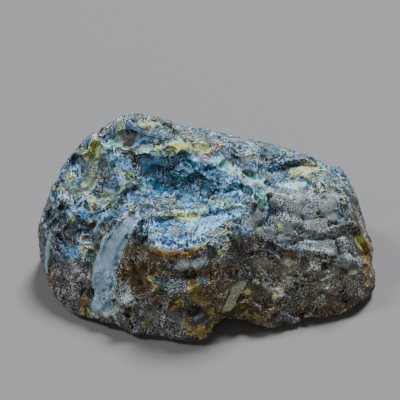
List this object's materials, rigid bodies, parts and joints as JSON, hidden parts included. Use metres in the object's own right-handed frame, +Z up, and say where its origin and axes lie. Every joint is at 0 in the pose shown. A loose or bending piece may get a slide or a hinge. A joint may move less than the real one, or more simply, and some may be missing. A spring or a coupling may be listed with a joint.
{
  "type": "raw amber piece",
  "caption": "Rough uncut lump of dark blue-flashing amber with a raised knob, a shallow basin, a notched front and worn broken faces, resting on a flat underside.",
  "frame": {"origin": "on the ground, under the middle of the stone's bounding box", "axes": "+X along the stone, towards its low blunt end; +Y towards its back; +Z up"},
  "size_m": [0.1114, 0.0708, 0.051],
  "materials": {
    "amber": "dark natural resin with glassy broken faces, a dull grey crust on one side and see-through orange edges"
  },
  "bodies": {
    "root": {"amber_stone": "amber"}
  },
  "joints": []
}
